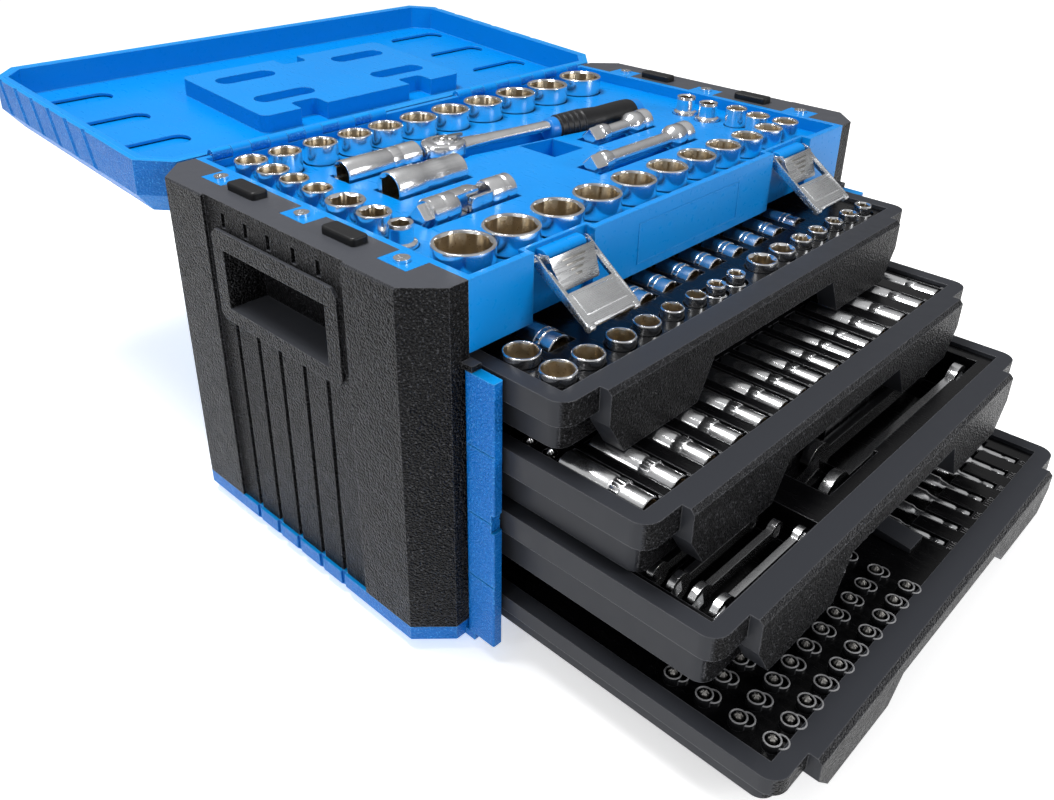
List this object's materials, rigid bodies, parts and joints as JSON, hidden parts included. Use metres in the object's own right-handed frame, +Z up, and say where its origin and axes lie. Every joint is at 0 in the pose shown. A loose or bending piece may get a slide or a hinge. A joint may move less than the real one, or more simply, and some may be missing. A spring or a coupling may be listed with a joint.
{
  "type": "socket wrench set in case",
  "caption": "Socket wrench set in a blue and black case with a hinged lid, tool tray and sliding drawers of sockets, wrenches, bits and nut drivers",
  "frame": {"origin": "centre of the underside of the base", "axes": "+Z up, -Y towards the drawer fronts, +X to the right seen from the front"},
  "size_m": [0.512, 0.8276, 0.2924],
  "materials": {
    "blue_plastic": "textured",
    "blue_insert": "smooth",
    "black_textured": "grained",
    "black_smooth": "smooth",
    "black_drawer": "satin, grained front",
    "black_insert": "smooth",
    "black_rubber": "matte",
    "zinc_steel": "zinc plated",
    "latch_steel": "brushed and polished",
    "chrome": "satin chrome",
    "grip_plastic": "two-tone black and blue",
    "bit_steel": "dark satin"
  },
  "bodies": {
    "case": {"back_panel": "black_textured", "base": "blue_plastic", "extension_long": "chrome", "extension_short": "chrome", "flap_pins": "zinc_steel", "handle_left": "black_textured", "handle_right": "black_textured", "hinge_pins": "zinc_steel", "joint_cross": "chrome", "joint_drive_end": "chrome", "latch_pins": "zinc_steel", "lid_buffers": "black_rubber", "ratchet_body": "chrome", "ratchet_cap": "chrome", "ratchet_grip": "grip_plastic", "runner_wall_left": "black_smooth", "runner_wall_right": "black_smooth", "side_shell_left": "black_textured", "side_shell_right": "black_textured", "sockets_front_row": "chrome", "sockets_left_column": "chrome", "sockets_rear_row": "chrome", "sockets_right_column": "chrome", "spark_plug_socket_large": "chrome", "spark_plug_socket_small": "chrome", "top_tray": "blue_plastic", "tray_insert": "blue_insert", "tray_screws": "zinc_steel"},
    "lid": {"lid_shell": "blue_plastic", "lid_liner": "blue_insert"},
    "lock_flap_left": {"lock_flap_left": "blue_plastic"},
    "lock_flap_right": {"lock_flap_right": "blue_plastic"},
    "latch_lever_left": {"latch_lever_left": "latch_steel"},
    "latch_lever_right": {"latch_lever_right": "latch_steel"},
    "latch_plate_left": {"latch_plate_left": "latch_steel"},
    "latch_plate_right": {"latch_plate_right": "latch_steel"},
    "ratchet_lever": {"ratchet_lever": "chrome"},
    "universal_joint_end": {"joint_socket_end": "chrome"},
    "drawer_1": {"drawer_1_body": "black_drawer", "drawer_1_hex_sockets": "chrome", "drawer_1_insert": "black_insert", "drawer_1_lying_sockets": "chrome", "drawer_1_star_sockets": "chrome"},
    "drawer_2": {"drawer_2_bits": "bit_steel", "drawer_2_body": "black_drawer", "drawer_2_deep_sockets": "chrome", "drawer_2_insert": "black_insert"},
    "drawer_3": {"drawer_3_body": "black_drawer", "drawer_3_insert": "black_insert", "wrench_large_1": "chrome", "wrench_large_2": "chrome", "wrench_small_1": "chrome", "wrench_small_2": "chrome", "wrench_small_3": "chrome", "wrench_small_4": "chrome"},
    "drawer_4": {"drawer_4_bit_rings": "bit_steel", "drawer_4_bits": "bit_steel", "drawer_4_body": "black_drawer", "drawer_4_insert": "black_insert", "drawer_4_nut_drivers": "bit_steel"}
  },
  "joints": [
    {"name": "lid_hinge", "type": "hinge", "parent": "case", "child": "lid", "pos_m": [0, 0.146, 0.273], "axis": [-1, 0, 0], "range_deg": [-176.1, 0]},
    {"name": "drawer_1_slide", "type": "slide", "parent": "case", "child": "drawer_1", "axis": [0, -1, 0], "range_m": [-0.0707, 0.1597]},
    {"name": "drawer_2_slide", "type": "slide", "parent": "case", "child": "drawer_2", "axis": [0, -1, 0], "range_m": [-0.133, 0.0974]},
    {"name": "drawer_3_slide", "type": "slide", "parent": "case", "child": "drawer_3", "axis": [0, -1, 0], "range_m": [-0.1834, 0.047]},
    {"name": "drawer_4_slide", "type": "slide", "parent": "case", "child": "drawer_4", "axis": [0, -1, 0], "range_m": [-0.2304, 0]},
    {"name": "latch_lever_left_hinge", "type": "hinge", "parent": "case", "child": "latch_lever_left", "pos_m": [-0.1365, -0.144, 0.2655], "axis": [-1, 0, 0], "range_deg": [-18, 45]},
    {"name": "latch_plate_left_hinge", "type": "hinge", "parent": "case", "child": "latch_plate_left", "pos_m": [-0.1365, -0.144, 0.2655], "axis": [-1, 0, 0], "range_deg": [-8, 20]},
    {"name": "lock_flap_left_hinge", "type": "hinge", "parent": "case", "child": "lock_flap_left", "pos_m": [-0.2215, -0.152, 0.11], "axis": [0, 0, -1], "range_deg": [0, 90]},
    {"name": "latch_lever_right_hinge", "type": "hinge", "parent": "case", "child": "latch_lever_right", "pos_m": [0.1365, -0.144, 0.2655], "axis": [-1, 0, 0], "range_deg": [-18, 45]},
    {"name": "latch_plate_right_hinge", "type": "hinge", "parent": "case", "child": "latch_plate_right", "pos_m": [0.1365, -0.144, 0.2655], "axis": [-1, 0, 0], "range_deg": [-8, 20]},
    {"name": "lock_flap_right_hinge", "type": "hinge", "parent": "case", "child": "lock_flap_right", "pos_m": [0.2215, -0.152, 0.11], "axis": [0, 0, 1], "range_deg": [0, 90]},
    {"name": "ratchet_lever_pivot", "type": "hinge", "parent": "case", "child": "ratchet_lever", "pos_m": [-0.0597, 0.0504, 0.2756], "axis": [0, 0, 1], "range_deg": [-25, 25]},
    {"name": "universal_joint_swivel", "type": "hinge", "parent": "case", "child": "universal_joint_end", "pos_m": [-0.122, -0.044, 0.2665], "axis": [0, -1, 0], "range_deg": [0, 25]}
  ]
}
